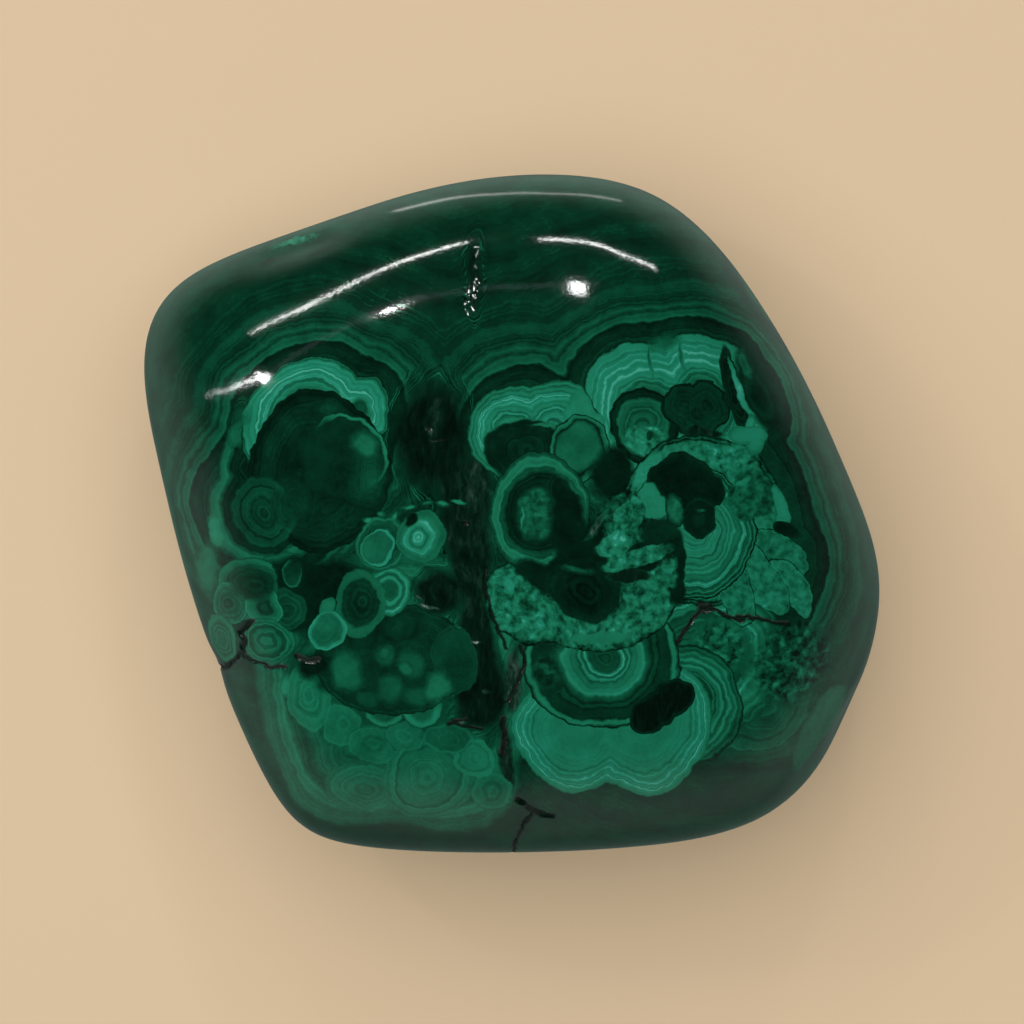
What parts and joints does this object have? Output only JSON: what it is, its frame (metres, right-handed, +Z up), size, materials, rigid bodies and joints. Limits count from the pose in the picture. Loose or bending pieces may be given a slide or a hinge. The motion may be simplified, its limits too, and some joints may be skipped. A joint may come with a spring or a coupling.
{
  "type": "polished malachite specimen",
  "caption": "Tumbled and polished malachite stone: a rounded freeform pebble with banded green growth rings that lies on its flattest side.",
  "frame": {"origin": "middle of the flat underside, below the centre of the stone's box", "axes": "+Z up from the flat underside to the dome; +X along the stone's longest side, towards its blunt right corner; +Y towards the far side"},
  "size_m": [0.075, 0.0692, 0.033],
  "materials": {
    "malachite": "polished"
  },
  "bodies": {
    "root": {"malachite_stone": "malachite"}
  },
  "joints": []
}
